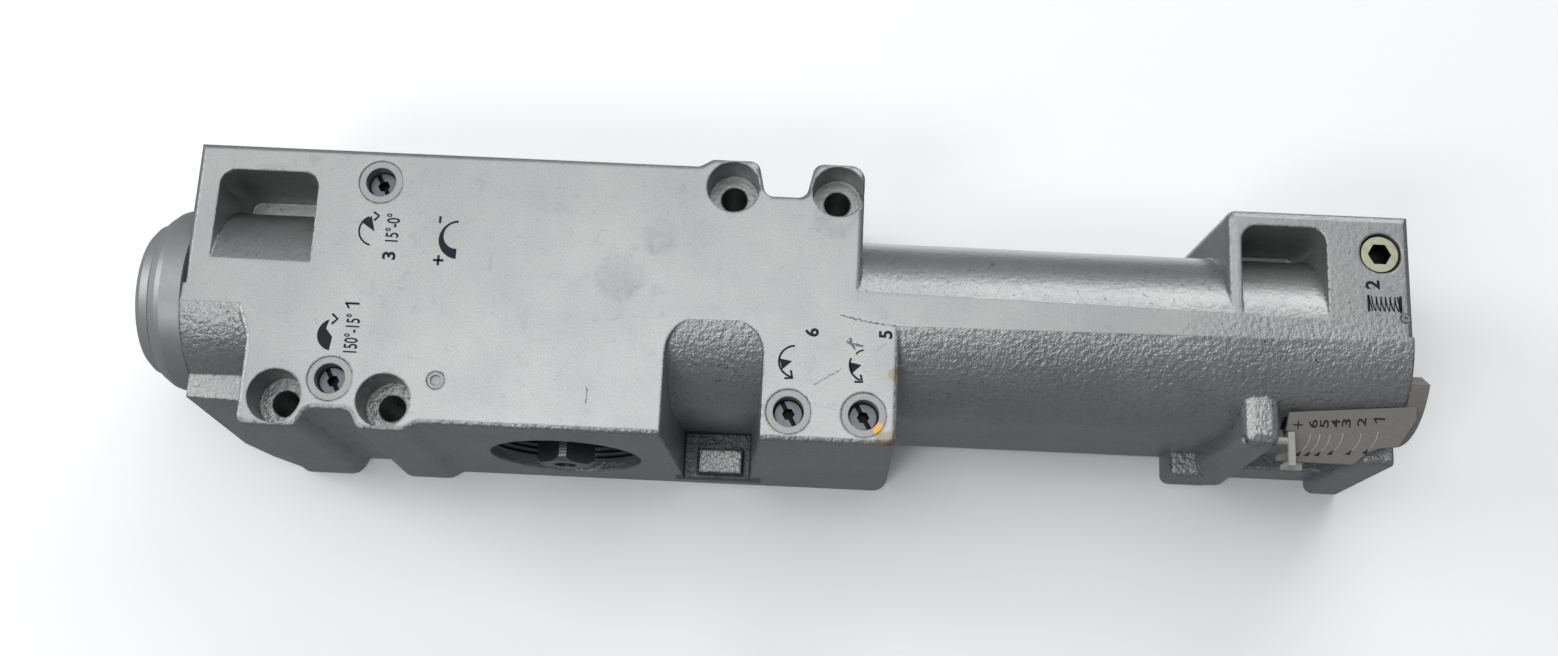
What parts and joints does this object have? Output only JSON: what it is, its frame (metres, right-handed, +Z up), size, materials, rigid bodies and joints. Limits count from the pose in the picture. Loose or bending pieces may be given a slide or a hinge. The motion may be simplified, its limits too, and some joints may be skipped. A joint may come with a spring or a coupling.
{
  "type": "surface door closer",
  "caption": "Cast rack-and-pinion door closer body with a spring tube, regulating valves, end cap and a worm-driven spring adjuster.",
  "frame": {"origin": "on the spindle axis, in the door face, in the middle of the four fixing holes", "axes": "+X along the body towards the spring tube, +Y into the door, +Z up along the spindle"},
  "size_m": [0.3162, 0.0607, 0.0754],
  "materials": {
    "silver_casting": "satin silver paint over a casting",
    "silver_cap": "smooth satin silver paint",
    "bright_steel": "ground steel",
    "black_steel": "blackened steel",
    "bearing_steel": "ground bearing steel",
    "spring_steel": "oiled spring steel",
    "seat_iron": "machined iron",
    "zinc_steel": "yellowish zinc plate",
    "brass": "turned brass",
    "seal_rubber": "black nitrile",
    "grey_plastic": "matt grey moulding"
  },
  "bodies": {
    "body": {"body_casting": "silver_casting", "left_end_cap": "silver_cap", "left_cap_seal": "seal_rubber", "right_end_cap": "bright_steel", "lock_pin": "bright_steel", "upper_gland_nut": "black_steel", "lower_gland_nut": "black_steel", "upper_spindle_bearing": "bearing_steel", "lower_spindle_bearing": "bearing_steel", "upper_spindle_seal": "seal_rubber", "lower_spindle_seal": "seal_rubber", "worm_circlip": "spring_steel", "gallery_plug": "brass", "scale_plate": "grey_plastic", "valve_ring_1": "brass", "valve_ring_3": "brass", "valve_ring_5": "brass", "valve_ring_6": "brass"},
    "spindle": {"spindle": "bright_steel"},
    "piston": {"piston": "bright_steel", "piston_seal_left": "seal_rubber", "piston_seal_right": "seal_rubber", "check_ball": "bright_steel", "check_retainer": "brass"},
    "spring_seat": {"spring_seat": "seat_iron", "pointer": "bright_steel", "outer_spring": "spring_steel", "inner_spring": "spring_steel"},
    "lead_screw": {"lead_screw": "bright_steel", "worm_wheel": "brass"},
    "adjuster_worm": {"adjuster_worm": "zinc_steel"},
    "valve_screw_1": {"valve_screw_1": "zinc_steel", "valve_seal_1": "seal_rubber"},
    "valve_screw_3": {"valve_screw_3": "zinc_steel", "valve_seal_3": "seal_rubber"},
    "valve_screw_6": {"valve_screw_6": "zinc_steel", "valve_seal_6": "seal_rubber"},
    "valve_screw_5": {"valve_screw_5": "zinc_steel", "valve_seal_5": "seal_rubber"}
  },
  "joints": [
    {"name": "spindle_turn", "type": "hinge", "parent": "body", "child": "spindle", "pos_m": [0, -0.028, 0], "axis": [0, 0, 1], "range_deg": [0, 180], "stiffness_Nm_per_rad": 3},
    {"name": "piston_slide", "type": "slide", "parent": "body", "child": "piston", "axis": [1, 0, 0], "range_m": [0, 0.0321], "deforming": ["outer_spring", "inner_spring"]},
    {"name": "adjuster_turn", "type": "hinge", "parent": "body", "child": "adjuster_worm", "pos_m": [0.1997, -0.0377, 0.0191], "axis": [0, 1, 0], "range_deg": [0, 6976]},
    {"name": "lead_screw_turn", "type": "hinge", "parent": "body", "child": "lead_screw", "pos_m": [0.1997, -0.0377, -0.0008], "axis": [1, 0, 0], "range_deg": [-450.5, 0]},
    {"name": "seat_slide", "type": "slide", "parent": "body", "child": "spring_seat", "axis": [1, 0, 0], "range_m": [0, 0.02]},
    {"name": "valve_1_turn", "type": "hinge", "parent": "body", "child": "valve_screw_1", "pos_m": [-0.0537, -0.055, -0.0241], "axis": [0, 1, 0], "range_deg": [-360, 360]},
    {"name": "valve_3_turn", "type": "hinge", "parent": "body", "child": "valve_screw_3", "pos_m": [-0.0467, -0.055, 0.026], "axis": [0, 1, 0], "range_deg": [-360, 360]},
    {"name": "valve_6_turn", "type": "hinge", "parent": "body", "child": "valve_screw_6", "pos_m": [0.0565, -0.055, -0.0271], "axis": [0, 1, 0], "range_deg": [-360, 360]},
    {"name": "valve_5_turn", "type": "hinge", "parent": "body", "child": "valve_screw_5", "pos_m": [0.0745, -0.055, -0.0271], "axis": [0, 1, 0], "range_deg": [-360, 360]}
  ],
  "couplings": [
    {"joint": "piston_slide", "follows": "spindle_turn", "m_per_rad": 0.0102},
    {"joint": "lead_screw_turn", "follows": "seat_slide", "rad_per_m": -392.7},
    {"joint": "adjuster_turn", "follows": "seat_slide", "rad_per_m": 6086.8}
  ]
}
